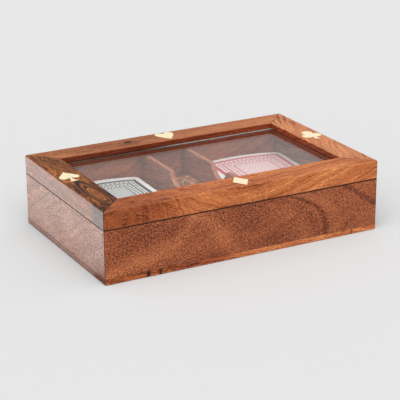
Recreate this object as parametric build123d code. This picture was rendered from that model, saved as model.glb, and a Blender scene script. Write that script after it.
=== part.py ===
from build123d import *
import math
import os

# ---------------------------------------------------------------------------
# Playing card box: a solid hardwood box with a hinged, glazed lid, brass suit
# inlays in the lid frame, two scooped dividers, two card decks and five dice.
# Millimetres, +Z up, X along the long side, front of the box towards -Y.
# ---------------------------------------------------------------------------

# ---- outer sizes ----
BOX_L = 203.0          # along X
BOX_W = 127.5          # along Y
BOX_H = 49.0           # closed height
SEAM_Z = 36.4          # rim of the base, underside of the lid

# ---- base ----
WALL_T = 10.1          # wall thickness
BOTTOM_T = 3.9         # edge of the bottom panel that shows under the walls
FIELD_T = 2.1          # raised field that sits up inside the walls
FIELD_GAP = 0.15       # play between the raised field and the walls
MITRE_GAP = 0.10       # glue line in each mitre

# ---- lid ----
RAIL_W = 18.4          # width of a lid rail seen from above
LIP_T = 3.6            # wood above the glass
GLASS_T = 2.0
GLASS_PLAY = 0.5       # play of the pane in the rabbet, each side
GLASS_OVER = 0.45      # play between the pane and the lip above it
BEAD_H = 3.55          # glazing beads under the pane

# ---- edges ----
R_CORNER = 1.1         # upright outer corners
R_TOP = 0.7            # outer arris of the lid top
R_SEAM = 0.45          # arris on both sides of the seam
R_FOOT = 0.6           # lowest outer arris
R_OPEN = 0.35          # arris round the lid opening

# ---- dividers ----
DIV_T = 3.6
DIV_LEFT_X = -18.4     # left face of the left divider
DIV_RIGHT_X = 13.6     # left face of the right divider
DIV_TOP = 38.4         # stands 2 mm above the rim
DIV_CLEAR = 0.45       # play between the ears and the walls above the rim
DADO = 2.0             # depth of the housings in the walls
DADO_PLAY = 0.05
SCOOP_Y = -1.0         # finger scoop
SCOOP_R = 10.9
SCOOP_LOW = 30.0
SCOOP_LIP = 2.2

# ---- hinges ----
HINGE_X = 62.0         # centres at -62 and +62
HINGE_LEN = 25.0
LEAF_T = 0.95
LEAF_W = 8.6           # into the wood, from the back face
KNUCKLE_R = 1.9
PIN_R = 0.95
AXIS_OUT = 2.2         # hinge axis behind the back face
LEAF_GAP = 0.05        # from leaf to seam plane
KN_MID = 8.6           # middle knuckle (lid leaf)
KN_GAP = 0.2
SCREW_HEAD_R = 2.0
SCREW_R = 1.05
SCREW_L = 8.2
SCREW_OFF = 8.2        # each side of the hinge centre
SCREW_Y = 4.9          # from the back face

# ---- brass inlays ----
INLAY_T = 1.2
INLAY_PLAY = 0.02

# ---- cards ----
CARD_W = 63.5
CARD_L = 88.9
CARD_R = 3.5
DECK_EDGE = 18.1       # stack height at the long edges
DECK_BOW_TOP = 1.9     # the stack is bowed across its width

# ---- dice ----
DIE = 16.0
DIE_R = 1.6
PIP_R = 1.35
PIP_D = 0.45
PIP_OFF = 4.1

# ---- derived ----
HX, HY = BOX_L / 2, BOX_W / 2
IX, IY = HX - WALL_T, HY - WALL_T            # inside faces of the walls
OX, OY = HX - RAIL_W, HY - RAIL_W            # edges of the lid opening
FLOOR_Z = BOTTOM_T + FIELD_T
RABBET_TOP = BOX_H - LIP_T                   # underside of the lip
GLASS_TOP = RABBET_TOP - GLASS_OVER          # the pane rests on the beads
GLASS_LOW = GLASS_TOP - GLASS_T
BEAD_LOW = GLASS_LOW - BEAD_H
AXIS_Y = HY + AXIS_OUT
BACK_Y = AXIS_Y + KNUCKLE_R                  # rearmost point of the object
Y_SHIFT = -(BACK_Y - HY) / 2                 # puts the origin under the middle

os.makedirs("parts", exist_ok=True)
nodes = {}


def block(x0, x1, y0, y1, z0, z1):
    return Pos((x0 + x1) / 2, (y0 + y1) / 2, (z0 + z1) / 2) * Box(x1 - x0, y1 - y0, z1 - z0)


def prism(points, z0, z1):
    """Upright prism over a polygon in XY."""
    face = make_face(Polyline(*[(x, y, z0) for x, y in points], close=True))
    return extrude(face, amount=z1 - z0, dir=(0, 0, 1))


def tube_x(y, z, r, x0, x1):
    """Cylinder along X."""
    return Pos((x0 + x1) / 2, y, z) * Rot(0, 90, 0) * Cylinder(r, x1 - x0)


# mitre sectors: a bisector runs at 45 degrees through each outer corner
def sector(side, z0, z1, gap):
    g = gap / 2 * math.sqrt(2)
    d = HY + 20
    if side == "front":
        pts = [(-HX - 20 + g, -HY - 20), (HX + 20 - g, -HY - 20), (HX - HY - g, 0), (-HX + HY + g, 0)]
    elif side == "back":
        pts = [(-HX - 20 + g, HY + 20), (HX + 20 - g, HY + 20), (HX - HY - g, 0), (-HX + HY + g, 0)]
    elif side == "left":
        pts = [(-HX - 20, -HY - 20 + g), (-HX - 20, HY + 20 - g), (-HX + HY, -g), (-HX + HY - g, 0)]
        pts = [(-HX - 20, -HY - 20 + g), (-HX + HY - g, 0), (-HX - 20, HY + 20 - g)]
    else:
        pts = [(HX + 20, -HY - 20 + g), (HX - HY + g, 0), (HX + 20, HY + 20 - g)]
    return prism(pts, z0, z1)


def upright_edges(solid, x, y, tol=0.3):
    """Upright edges of a solid that stand at the four corners +-x, +-y."""
    out = []
    for e in solid.edges().filter_by(Axis.Z):
        c = e.center()
        if abs(abs(c.X) - x) < tol and abs(abs(c.Y) - y) < tol:
            out.append(e)
    return out


def outline_edges(solid, z, outer=True):
    """Edges at height z that run round the outside."""
    out = []
    for e in solid.edges():
        b = e.bounding_box()
        if abs(b.min.Z - z) < 1e-4 and abs(b.max.Z - z) < 1e-4:
            c = e.center()
            far = abs(c.X) > HX - 3 or abs(c.Y) > HY - 3
            if far == outer:
                out.append(e)
    return out


# ---------------------------------------------------------------------------
# Base: four mitred walls on a rebated bottom panel
# ---------------------------------------------------------------------------
body = block(-HX, HX, -HY, HY, BOTTOM_T, SEAM_Z)
body = fillet(upright_edges(body, HX, HY), R_CORNER)
body = fillet(outline_edges(body, SEAM_Z), R_SEAM)
body -= block(-IX, IX, -IY, IY, BOTTOM_T - 1, SEAM_Z + 1)

# housings for the dividers, front and back
for x in (DIV_LEFT_X, DIV_RIGHT_X):
    for s in (-1, 1):
        y0, y1 = sorted((s * (IY - 1), s * (IY + DADO + DADO_PLAY)))
        body -= block(x - DADO_PLAY, x + DIV_T + DADO_PLAY, y0, y1, FLOOR_Z, SEAM_Z + 1)


def screw_tool(extra, up):
    """Countersunk screw shape, head face at z=0, point towards -Z (or +Z)."""
    head_h = 1.15
    pts = [(0, 0), (SCREW_HEAD_R + extra, 0), (SCREW_R + extra, -head_h - extra), (SCREW_R + extra, -SCREW_L + 2.2),
           (0.25 + extra, -SCREW_L - extra), (0, -SCREW_L - extra)]
    prof = make_face(Polyline(*[(x, 0, z) for x, z in pts], close=True))
    solid = revolve(prof, axis=Axis.Z)
    return Rot(180, 0, 0) * solid if up else solid


def screw(up):
    s = screw_tool(0.0, False)
    slot = Pos(0, 0, -0.25) * Box(0.5, 3.2, 0.5)
    slot += Pos(0, 0, -0.25) * Box(3.2, 0.5, 0.5)
    s -= slot
    return Rot(180, 0, 0) * s if up else s


hinge_centres = (-HINGE_X, HINGE_X)
screw_y = HY - SCREW_Y
leaf_in = HY - LEAF_W

# recesses for the base leaves and pilot holes
for hx in hinge_centres:
    body -= block(hx - HINGE_LEN / 2 - 0.05, hx + HINGE_LEN / 2 + 0.05, leaf_in - 0.05, HY + 1,
                  SEAM_Z - LEAF_GAP - LEAF_T, SEAM_Z + 1)
    for s in (-1, 1):
        body -= Pos(hx + s * SCREW_OFF, screw_y, SEAM_Z - LEAF_GAP) * screw_tool(0.02, False)

for side in ("front", "back", "left", "right"):
    piece = body & sector(side, 0, BOX_H, MITRE_GAP)
    nodes[f"base_{side}_wall"] = piece

panel = block(-HX, HX, -HY, HY, 0, BOTTOM_T)
panel = fillet(upright_edges(panel, HX, HY), R_CORNER)
panel = fillet(outline_edges(panel, 0), R_FOOT)
panel = chamfer(outline_edges(panel, BOTTOM_T), 0.22)
panel += block(-IX + FIELD_GAP, IX - FIELD_GAP, -IY + FIELD_GAP, IY - FIELD_GAP, BOTTOM_T, FLOOR_Z)
nodes["base_bottom_panel"] = panel


# ---------------------------------------------------------------------------
# Dividers with a rounded finger scoop
# ---------------------------------------------------------------------------
def divider(x):
    ear = IY - DIV_CLEAR
    end = IY + DADO
    cz = SCOOP_LOW + SCOOP_R
    half = math.sqrt(SCOOP_R ** 2 - (cz - DIV_TOP) ** 2)
    ya, yb = SCOOP_Y - half, SCOOP_Y + half
    outline = [
        Line((x, -end, FLOOR_Z), (x, end, FLOOR_Z)),
        Line((x, end, FLOOR_Z), (x, end, SEAM_Z)),
        Line((x, end, SEAM_Z), (x, ear, SEAM_Z)),
        Line((x, ear, SEAM_Z), (x, ear, DIV_TOP)),
        Line((x, ear, DIV_TOP), (x, yb, DIV_TOP)),
        ThreePointArc((x, yb, DIV_TOP), (x, SCOOP_Y, SCOOP_LOW), (x, ya, DIV_TOP)),
        Line((x, ya, DIV_TOP), (x, -ear, DIV_TOP)),
        Line((x, -ear, DIV_TOP), (x, -ear, SEAM_Z)),
        Line((x, -ear, SEAM_Z), (x, -end, SEAM_Z)),
        Line((x, -end, SEAM_Z), (x, -end, FLOOR_Z)),
    ]
    face = make_face(outline)
    solid = extrude(face, amount=DIV_T, dir=(1, 0, 0))
    lips = [e for e in solid.edges().filter_by(Axis.X)
            if abs(e.center().Z - DIV_TOP) < 1e-3 and (abs(e.center().Y - ya) < 0.01 or abs(e.center().Y - yb) < 0.01)]
    solid = fillet(lips, SCOOP_LIP)
    top = [e for e in solid.edges()
           if e.bounding_box().min.Z > SEAM_Z - 7 and abs(e.center().Y) < ear - 0.1
           and e.bounding_box().max.X - e.bounding_box().min.X < 0.01]
    try:
        solid = fillet(top, 0.35)
    except Exception:
        pass
    return solid


nodes["divider_left"] = divider(DIV_LEFT_X)
nodes["divider_right"] = divider(DIV_RIGHT_X)

# ---------------------------------------------------------------------------
# Lid: four mitred rails, rabbeted for the pane, with brass suits let in
# ---------------------------------------------------------------------------
lid = block(-HX, HX, -HY, HY, SEAM_Z, BOX_H)
lid = fillet(upright_edges(lid, HX, HY), R_CORNER)
lid = fillet(outline_edges(lid, SEAM_Z), R_SEAM)
lid = fillet(outline_edges(lid, BOX_H), R_TOP)
lid -= block(-IX, IX, -IY, IY, SEAM_Z - 1, RABBET_TOP)
lid -= block(-OX, OX, -OY, OY, SEAM_Z - 1, BOX_H + 1)
inner_top = outline_edges(lid, BOX_H, outer=False)
lid = fillet(inner_top, R_OPEN)

for hx in hinge_centres:
    lid -= block(hx - HINGE_LEN / 2 - 0.05, hx + HINGE_LEN / 2 + 0.05, leaf_in - 0.05, HY + 1,
                 SEAM_Z - 1, SEAM_Z + LEAF_GAP + LEAF_T)
    for s in (-1, 1):
        lid -= Pos(hx + s * SCREW_OFF, screw_y, SEAM_Z + LEAF_GAP) * screw_tool(0.02, True)


# suit outlines, each about its own centre, upright towards +Y
def heart_face(w, h):
    k = w / 2
    top, bot = h / 2, -h / 2
    pts = [(0, bot), (k * 0.42, bot + h * 0.27), (k * 0.86, bot + h * 0.56), (k, top - h * 0.24)]
    right = Spline([(0, bot, 0), (k * 0.44, bot + h * 0.26, 0), (k * 0.88, bot + h * 0.57, 0), (k, top - h * 0.23, 0),
                    (k * 0.80, top - h * 0.045, 0), (k * 0.48, top, 0), (k * 0.17, top - h * 0.06, 0), (0, top - h * 0.17, 0)],
                   tangents=[(0.62, 0.78, 0), (-0.45, -0.9, 0)])
    left = mirror(right, about=Plane.YZ)
    return make_face([right, left])


def diamond_face(w, h):
    return make_face(Polyline((0, -h / 2, 0), (w / 2, 0, 0), (0, h / 2, 0), (-w / 2, 0, 0), close=True))


def spade_face(w, h):
    k = w / 2
    top, bot = h / 2, -h / 2
    body_low = bot + h * 0.30
    right = Spline([(0, top, 0), (k * 0.40, top - h * 0.22, 0), (k * 0.86, top - h * 0.42, 0), (k, top - h * 0.57, 0),
                    (k * 0.80, body_low + h * 0.005, 0), (k * 0.42, body_low - h * 0.005, 0), (k * 0.12, body_low + h * 0.09, 0)],
                   tangents=[(0.45, -0.9, 0), (-0.55, 0.83, 0)])
    left = mirror(right, about=Plane.YZ)
    bridge = Line((k * 0.12, body_low + h * 0.09, 0), (-k * 0.12, body_low + h * 0.09, 0))
    head = make_face([right, bridge, left])
    foot_w = k * 0.46
    stem_r = Spline([(k * 0.11, body_low + h * 0.14, 0), (k * 0.15, bot + h * 0.20, 0), (foot_w, bot, 0)],
                    tangents=[(0, -1, 0), (0.8, -0.6, 0)])
    stem_l = mirror(stem_r, about=Plane.YZ)
    stem = make_face([stem_r, Line((foot_w, bot, 0), (-foot_w, bot, 0)), stem_l,
                      Line((-k * 0.11, body_low + h * 0.14, 0), (k * 0.11, body_low + h * 0.14, 0))])
    return head + stem


def club_face(w, h):
    k = w / 2
    top, bot = h / 2, -h / 2
    r = w * 0.262
    head = Pos(0, top - r) * Circle(r)
    head += Pos(k - r, bot + h * 0.43) * Circle(r)
    head += Pos(-k + r, bot + h * 0.43) * Circle(r)
    head += Pos(0, bot + h * 0.50) * Circle(r * 0.62)
    foot_w = k * 0.34
    stem_r = Spline([(k * 0.12, bot + h * 0.45, 0), (k * 0.16, bot + h * 0.20, 0), (foot_w, bot, 0)],
                    tangents=[(0, -1, 0), (0.8, -0.6, 0)])
    stem_l = mirror(stem_r, about=Plane.YZ)
    stem = make_face([stem_r, Line((foot_w, bot, 0), (-foot_w, bot, 0)), stem_l,
                      Line((-k * 0.12, bot + h * 0.45, 0), (k * 0.12, bot + h * 0.45, 0))])
    return head + stem


INLAYS = {
    # name: (outline, x, y)
    "inlay_spade": (spade_face(13.8, 19.4), -93.2, 8.0),
    "inlay_heart": (heart_face(13.8, 15.4), 2.7, 55.2),
    "inlay_diamond": (diamond_face(11.2, 17.0), 0.5, -54.3),
    "inlay_club": (club_face(14.6, 18.2), 93.2, 7.2),
}
for name, (face, x, y) in INLAYS.items():
    placed = Pos(x, y, BOX_H - INLAY_T) * face
    lid -= extrude(placed, amount=INLAY_T + 1, dir=(0, 0, 1))
    nodes[name] = extrude(placed, amount=INLAY_T, dir=(0, 0, 1))

for side in ("front", "back", "left", "right"):
    nodes[f"lid_{side}_rail"] = lid & sector(side, 0, BOX_H + 1, MITRE_GAP)

nodes["glass_pane"] = block(-IX + GLASS_PLAY, IX - GLASS_PLAY, -IY + GLASS_PLAY, IY - GLASS_PLAY, GLASS_LOW, GLASS_TOP)

beads = block(-IX, IX, -IY, IY, BEAD_LOW, GLASS_LOW)
beads -= block(-OX, OX, -OY, OY, BEAD_LOW - 1, GLASS_LOW + 1)


def bead_sector(side):
    g = MITRE_GAP / 2 * math.sqrt(2)
    z0, z1 = BEAD_LOW - 1, GLASS_LOW + 1
    if side == "front":
        pts = [(-IX - 5 + g, -IY - 5), (IX + 5 - g, -IY - 5), (IX - IY - g, 0), (-IX + IY + g, 0)]
    elif side == "back":
        pts = [(-IX - 5 + g, IY + 5), (IX + 5 - g, IY + 5), (IX - IY - g, 0), (-IX + IY + g, 0)]
    elif side == "left":
        pts = [(-IX - 5, -IY - 5 + g), (-IX + IY - g, 0), (-IX - 5, IY + 5 - g)]
    else:
        pts = [(IX + 5, -IY - 5 + g), (IX - IY + g, 0), (IX + 5, IY + 5 - g)]
    return prism(pts, z0, z1)


for side in ("front", "back", "left", "right"):
    nodes[f"glass_bead_{side}"] = beads & bead_sector(side)


# ---------------------------------------------------------------------------
# Brass butt hinges
# ---------------------------------------------------------------------------
def leaf(hx, lower):
    """Leaf with its rolled knuckles. Lower = screwed to the base."""
    x0, x1 = hx - HINGE_LEN / 2, hx + HINGE_LEN / 2
    if lower:
        z1 = SEAM_Z - LEAF_GAP
        z0 = z1 - LEAF_T
    else:
        z0 = SEAM_Z + LEAF_GAP
        z1 = z0 + LEAF_T
    plate = block(x0, x1, leaf_in, HY + 0.1, z0, z1)
    m0, m1 = hx - KN_MID / 2, hx + KN_MID / 2
    if lower:
        spans = [(x0, m0 - KN_GAP), (m1 + KN_GAP, x1)]
    else:
        spans = [(m0, m1)]
    for a, b in spans:
        plate += tube_x(AXIS_Y, SEAM_Z, KNUCKLE_R, a, b)
        plate += block(a, b, HY, AXIS_Y, z0, z1)
    bore = PIN_R + (0.01 if lower else 0.05)
    plate -= tube_x(AXIS_Y, SEAM_Z, bore, x0 - 1, x1 + 1)
    for s in (-1, 1):
        z = z1 if lower else z0
        plate -= Pos(hx + s * SCREW_OFF, screw_y, z) * screw_tool(0.02, not lower)
    # the leaf is round-cornered where it meets the wood
    ends = [e for e in plate.edges().filter_by(Axis.Z) if abs(e.center().Y - leaf_in) < 1e-3]
    return fillet(ends, 0.8)


for name, hx in (("left", -HINGE_X), ("right", HINGE_X)):
    nodes[f"hinge_{name}_base_leaf"] = leaf(hx, True)
    nodes[f"hinge_{name}_lid_leaf"] = leaf(hx, False)
    a, b = hx - HINGE_LEN / 2, hx + HINGE_LEN / 2
    pin = tube_x(AXIS_Y, SEAM_Z, PIN_R, a, b)
    # peened ends
    for end, s in ((a, -1), (b, 1)):
        cap = Pos(end, AXIS_Y, SEAM_Z) * Rot(0, 90 * s, 0) * Cone(1.45, 0.9, 0.5, align=(Align.CENTER, Align.CENTER, Align.MIN))
        pin += cap
    nodes[f"hinge_{name}_pin"] = pin

base_screws = []
lid_screws = []
for hx in hinge_centres:
    for s in (-1, 1):
        base_screws.append(Pos(hx + s * SCREW_OFF, screw_y, SEAM_Z - LEAF_GAP) * screw(False))
        lid_screws.append(Pos(hx + s * SCREW_OFF, screw_y, SEAM_Z + LEAF_GAP) * screw(True))
nodes["hinge_base_screws"] = Compound(children=[p.solids()[0] if hasattr(p, "solids") else p for p in base_screws])
nodes["hinge_lid_screws"] = Compound(children=[p.solids()[0] if hasattr(p, "solids") else p for p in lid_screws])


# ---------------------------------------------------------------------------
# Card decks: bowed stacks with round corners
# ---------------------------------------------------------------------------
def deck(cx, cy, turn):
    """The stack: flat below, bowed up across its width on top."""
    z0, z1 = FLOOR_Z, FLOOR_Z + DECK_EDGE
    top = z1 + DECK_BOW_TOP
    stack = extrude(Pos(0, 0, z0) * RectangleRounded(CARD_W, CARD_L, CARD_R), amount=top + 1 - z0, dir=(0, 0, 1))
    half = CARD_W / 2
    radius = (half ** 2 + DECK_BOW_TOP ** 2) / (2 * DECK_BOW_TOP)
    crown = Pos(0, 0, top - radius) * Rot(90, 0, 0) * Cylinder(radius, CARD_L + 20)
    stack = stack & crown
    return Pos(cx, cy, 0) * Rot(0, 0, turn) * stack


nodes["card_deck_black"] = deck(-57.9, 2.3, -1.6)
nodes["card_deck_red"] = deck(56.1, 3.5, -4.0)


# ---------------------------------------------------------------------------
# Dice: soft-edged cubes with drilled pips
# ---------------------------------------------------------------------------
def pips(n):
    o = PIP_OFF
    return {
        1: [(0, 0)],
        2: [(-o, -o), (o, o)],
        3: [(-o, -o), (0, 0), (o, o)],
        4: [(-o, -o), (o, o), (-o, o), (o, -o)],
        5: [(-o, -o), (o, o), (-o, o), (o, -o), (0, 0)],
        6: [(-o, -o), (o, o), (-o, o), (o, -o), (-o, 0), (o, 0)],
    }[n]


def die(cx, cy, turn, top):
    cube = Box(DIE, DIE, DIE)
    cube = fillet(cube.edges(), DIE_R)
    side_of = {1: (2, 3), 2: (1, 4), 3: (2, 1), 4: (1, 2), 5: (1, 3), 6: (2, 4)}
    east, north = side_of[top]
    faces = [
        (Rot(0, 0, 0), top), (Rot(180, 0, 0), 7 - top),
        (Rot(0, 90, 0), east), (Rot(0, -90, 0), 7 - east),
        (Rot(-90, 0, 0), north), (Rot(90, 0, 0), 7 - north),
    ]
    for rot, n in faces:
        for px, py in pips(n):
            cube -= rot * Pos(px, py, DIE / 2 - PIP_D / 2 + 0.5) * Cylinder(PIP_R, PIP_D + 1)
    return Pos(cx, cy, FLOOR_Z + DIE / 2) * Rot(0, 0, turn) * cube


DICE = [
    (4.8, 31.5, 4.0, 5),
    (3.7, 13.3, -9.0, 6),
    (-4.7, -6.0, 14.0, 3),
    (4.6, -25.3, 3.0, 4),
    (-5.0, -43.7, -7.0, 2),
]
for i, (x, y, turn, top) in enumerate(DICE, 1):
    nodes[f"die_{i}"] = die(x, y, turn, top)

# ---------------------------------------------------------------------------
# Write one file per piece
# ---------------------------------------------------------------------------
for name, shape in nodes.items():
    solids = shape.solids()
    moved = [Pos(0, Y_SHIFT, 0) * s for s in solids]
    out = moved[0] if len(moved) == 1 else Compound(children=moved)
    out.label = name
    export_step(out, f"parts/{name}.step")
    b = out.bounding_box()
    print(f"{name:26s} solids {len(solids)} vol {sum(s.volume for s in solids):10.1f} "
          f"x {b.min.X:7.2f} {b.max.X:7.2f} y {b.min.Y:7.2f} {b.max.Y:7.2f} z {b.min.Z:6.2f} {b.max.Z:6.2f}")
print("nodes", len(nodes), "y shift", round(Y_SHIFT, 3))
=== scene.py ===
import math
import random

import bmesh
import bpy
from mathutils import Matrix, Vector


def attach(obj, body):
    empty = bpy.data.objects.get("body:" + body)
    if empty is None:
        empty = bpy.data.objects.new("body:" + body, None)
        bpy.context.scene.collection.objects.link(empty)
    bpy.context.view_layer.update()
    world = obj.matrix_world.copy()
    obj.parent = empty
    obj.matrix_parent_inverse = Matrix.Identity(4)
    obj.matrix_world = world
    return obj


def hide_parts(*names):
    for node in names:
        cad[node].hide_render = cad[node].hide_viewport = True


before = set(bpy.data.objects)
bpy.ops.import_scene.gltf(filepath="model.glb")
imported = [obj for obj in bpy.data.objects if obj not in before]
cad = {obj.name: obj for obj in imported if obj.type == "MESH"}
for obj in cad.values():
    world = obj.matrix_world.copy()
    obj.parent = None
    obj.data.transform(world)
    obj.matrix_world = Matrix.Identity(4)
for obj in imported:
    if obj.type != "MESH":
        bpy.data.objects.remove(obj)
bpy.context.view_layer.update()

# ---------------------------------------------------------------------------
# Sizes of the box, in millimetres, in box coordinates: the box itself is
# centred on X and Y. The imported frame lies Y_SHIFT further along Y.
# ---------------------------------------------------------------------------
MM = 0.001
Y_SHIFT = -2.05
HX, HY, TOP, SEAM = 101.5, 63.75, 49.0, 36.4
IX, IY = 91.4, 53.65
OX, OY = 83.1, 45.35
FLOOR_Z = 6.0


def lin(c):
    """sRGB 0-255 to linear RGBA."""
    out = []
    for v in c:
        v = v / 255.0
        out.append(v / 12.92 if v <= 0.04045 else ((v + 0.055) / 1.055) ** 2.4)
    return (*out, 1.0)


# ---------------------------------------------------------------------------
# Arithmetic on shader sockets
# ---------------------------------------------------------------------------
class Val:
    def __init__(self, net, sock):
        self.n, self.s = net, sock

    def __add__(self, o): return self.n.math("ADD", self, o)
    __radd__ = __add__
    def __sub__(self, o): return self.n.math("SUBTRACT", self, o)
    def __rsub__(self, o): return self.n.math("SUBTRACT", o, self)
    def __mul__(self, o): return self.n.math("MULTIPLY", self, o)
    __rmul__ = __mul__
    def __truediv__(self, o): return self.n.math("DIVIDE", self, o)
    def __rtruediv__(self, o): return self.n.math("DIVIDE", o, self)
    def __neg__(self): return self.n.math("MULTIPLY", self, -1.0)
    def __abs__(self): return self.n.math("ABSOLUTE", self)
    def __pow__(self, o): return self.n.math("POWER", self, o)


class Net:
    """One material's node tree."""

    def __init__(self, name):
        self.mat = bpy.data.materials.new(name)
        self.mat.use_nodes = True
        self.t = self.mat.node_tree
        self.t.nodes.clear()
        self.out = self.new("ShaderNodeOutputMaterial")
        self._xyz = None

    def new(self, kind, **props):
        node = self.t.nodes.new(kind)
        for k, v in props.items():
            setattr(node, k, v)
        return node

    def put(self, socket, value):
        if isinstance(value, Val):
            self.t.links.new(value.s, socket)
        elif value is not None:
            socket.default_value = value

    def math(self, op, *args, clamp=False):
        node = self.new("ShaderNodeMath", operation=op, use_clamp=clamp)
        for i, v in enumerate(args):
            self.put(node.inputs[i], v)
        return Val(self, node.outputs[0])

    def sqrt(self, a): return self.math("SQRT", a)
    def sin(self, a): return self.math("SINE", a)
    def vmin(self, a, b): return self.math("MINIMUM", a, b)
    def vmax(self, a, b): return self.math("MAXIMUM", a, b)
    def clamp(self, a): return self.math("ADD", a, 0.0, clamp=True)

    def xyz(self):
        """Box coordinates in millimetres."""
        if self._xyz is None:
            tc = self.new("ShaderNodeTexCoord")
            sep = self.new("ShaderNodeSeparateXYZ")
            self.t.links.new(tc.outputs["Object"], sep.inputs[0])
            x, y, z = (Val(self, sep.outputs[i]) for i in range(3))
            self._xyz = (x * 1000.0, y * 1000.0 - Y_SHIFT, z * 1000.0)
        return self._xyz

    def local(self):
        """Object coordinates in millimetres, as they are."""
        tc = self.new("ShaderNodeTexCoord")
        sep = self.new("ShaderNodeSeparateXYZ")
        self.t.links.new(tc.outputs["Object"], sep.inputs[0])
        return tuple(Val(self, sep.outputs[i]) * 1000.0 for i in range(3))

    def vec(self, x, y, z=0.0):
        node = self.new("ShaderNodeCombineXYZ")
        for i, v in enumerate((x, y, z)):
            self.put(node.inputs[i], v)
        return Val(self, node.outputs[0])

    def noise(self, x, y=0.0, z=0.0, detail=2.0, rough=0.5, distort=0.0):
        node = self.new("ShaderNodeTexNoise", noise_dimensions="3D")
        self.put(node.inputs["Vector"], self.vec(x, y, z))
        node.inputs["Scale"].default_value = 1.0
        node.inputs["Detail"].default_value = detail
        node.inputs["Roughness"].default_value = rough
        node.inputs["Distortion"].default_value = distort
        return Val(self, node.outputs["Fac"])

    def noise1(self, w, detail=2.0, rough=0.5):
        node = self.new("ShaderNodeTexNoise", noise_dimensions="1D")
        self.put(node.inputs["W"], w)
        node.inputs["Scale"].default_value = 1.0
        node.inputs["Detail"].default_value = detail
        node.inputs["Roughness"].default_value = rough
        return Val(self, node.outputs["Fac"])

    def cells(self, x, y, z=0.0, out="Distance"):
        node = self.new("ShaderNodeTexVoronoi", voronoi_dimensions="3D")
        self.put(node.inputs["Vector"], self.vec(x, y, z))
        node.inputs["Scale"].default_value = 1.0
        return Val(self, node.outputs[out])

    def step(self, v, a, b, lo=0.0, hi=1.0):
        """Smooth step of v from a (gives lo) to b (gives hi)."""
        node = self.new("ShaderNodeMapRange", interpolation_type="SMOOTHSTEP", clamp=True)
        if a > b:
            a, b, lo, hi = b, a, hi, lo
        self.put(node.inputs["Value"], v)
        node.inputs["From Min"].default_value = a
        node.inputs["From Max"].default_value = b
        node.inputs["To Min"].default_value = lo
        node.inputs["To Max"].default_value = hi
        return Val(self, node.outputs["Result"])

    def curve(self, v, pts):
        """Smooth curve through the points (v, result)."""
        xs, ys = [p[0] for p in pts], [p[1] for p in pts]
        x0, x1, y0, y1 = min(xs), max(xs), min(ys), max(ys)
        if y1 - y0 < 1e-6:
            y1 = y0 + 1.0
        node = self.new("ShaderNodeFloatCurve")
        c = node.mapping.curves[0]
        pos = [((a - x0) / (x1 - x0), (b - y0) / (y1 - y0)) for a, b in sorted(pts)]
        c.points[0].location = pos[0]
        c.points[1].location = pos[-1]
        for p in pos[1:-1]:
            c.points.new(*p)
        node.mapping.update()
        self.put(node.inputs["Value"], (v - x0) * (1.0 / (x1 - x0)))
        return Val(self, node.outputs[0]) * (y1 - y0) + y0

    def band(self, d, width):
        """1 on d = 0, falling smoothly to 0 at |d| = width."""
        return self.step(abs(d), width, 0.0)

    def mix(self, fac, a, b, blend="MIX"):
        node = self.new("ShaderNodeMix", data_type="RGBA", blend_type=blend)
        self.put(node.inputs[0], fac)
        self.put(node.inputs[6], a)
        self.put(node.inputs[7], b)
        return Val(self, node.outputs[2])

    def lerp(self, fac, a, b):
        node = self.new("ShaderNodeMix", data_type="FLOAT")
        self.put(node.inputs[0], fac)
        self.put(node.inputs[2], a)
        self.put(node.inputs[3], b)
        return Val(self, node.outputs[0])

    def ramp(self, fac, stops):
        node = self.new("ShaderNodeValToRGB")
        e = node.color_ramp.elements
        e[0].position, e[0].color = stops[0]
        e[1].position, e[1].color = stops[-1]
        for p, c in stops[1:-1]:
            k = e.new(p)
            k.color = c
        self.put(node.inputs[0], fac)
        return Val(self, node.outputs[0])

    def bump(self, height, strength, distance=0.0003, normal=None):
        node = self.new("ShaderNodeBump")
        node.inputs["Strength"].default_value = strength
        node.inputs["Distance"].default_value = distance
        self.put(node.inputs["Height"], height)
        if normal is not None:
            self.put(node.inputs["Normal"], normal)
        return Val(self, node.outputs[0])

    def principled(self, **sockets):
        node = self.new("ShaderNodeBsdfPrincipled")
        for k, v in sockets.items():
            self.put(node.inputs[k.replace("_", " ")], v)
        return node

    def surface(self, shader_out):
        self.t.links.new(shader_out, self.out.inputs["Surface"])


def dress(names, mat):
    """Gives CAD nodes or new pieces one material."""
    for o in names:
        ob = cad[o] if isinstance(o, str) else o
        ob.data.materials.clear()
        ob.data.materials.append(mat)


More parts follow.
